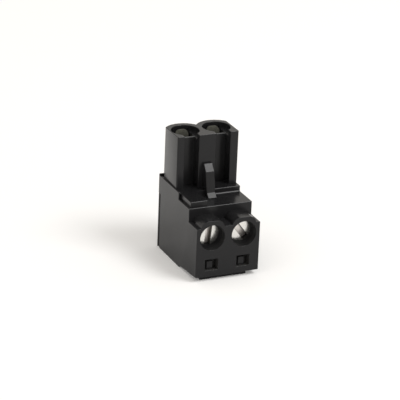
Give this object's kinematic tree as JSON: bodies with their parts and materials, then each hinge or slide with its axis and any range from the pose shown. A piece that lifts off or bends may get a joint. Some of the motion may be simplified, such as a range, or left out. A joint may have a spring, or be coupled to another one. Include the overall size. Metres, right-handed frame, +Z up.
{
  "type": "pluggable terminal block",
  "caption": "Plug with screw clamps: wires enter the base, screws turn from the front, and round-backed socket towers with a latch post slide into a board header.",
  "frame": {"origin": "middle of the box's base, on the plane of the wire-entry face", "axes": "+Z up along the pin axes towards the mating end, -Y towards the screws, +X to the right seen from the screws"},
  "size_m": [0.0102, 0.0148, 0.0198],
  "materials": {
    "housing_plastic": "black moulded polyamide, lightly glossy",
    "tinned_contact": "tin-plated copper alloy",
    "yoke_steel": "zinc-plated steel",
    "screw_steel": "bright zinc-plated steel"
  },
  "bodies": {
    "plug": {"housing": "housing_plastic", "contact_left": "tinned_contact", "contact_right": "tinned_contact"},
    "screw_left": {"clamp_screw_left": "screw_steel"},
    "screw_right": {"clamp_screw_right": "screw_steel"},
    "yoke_left": {"clamp_yoke_left": "yoke_steel"},
    "yoke_right": {"clamp_yoke_right": "yoke_steel"}
  },
  "joints": [
    {"name": "screw_turn_left", "type": "hinge", "parent": "plug", "child": "screw_left", "pos_m": [-0.00254, -0.00575, 0.00687], "axis": [0, 1, 0], "range_deg": [0, 1800]},
    {"name": "yoke_lift_left", "type": "slide", "parent": "plug", "child": "yoke_left", "axis": [0, -1, 0], "range_m": [0, 0.00225]},
    {"name": "screw_turn_right", "type": "hinge", "parent": "plug", "child": "screw_right", "pos_m": [0.00254, -0.00585, 0.00687], "axis": [0, 1, 0], "range_deg": [0, 1800]},
    {"name": "yoke_lift_right", "type": "slide", "parent": "plug", "child": "yoke_right", "axis": [0, -1, 0], "range_m": [0, 0.00225]}
  ],
  "couplings": [
    {"joint": "screw_turn_left", "follows": "yoke_lift_left", "rad_per_m": 13963},
    {"joint": "screw_turn_right", "follows": "yoke_lift_right", "rad_per_m": 13963}
  ]
}
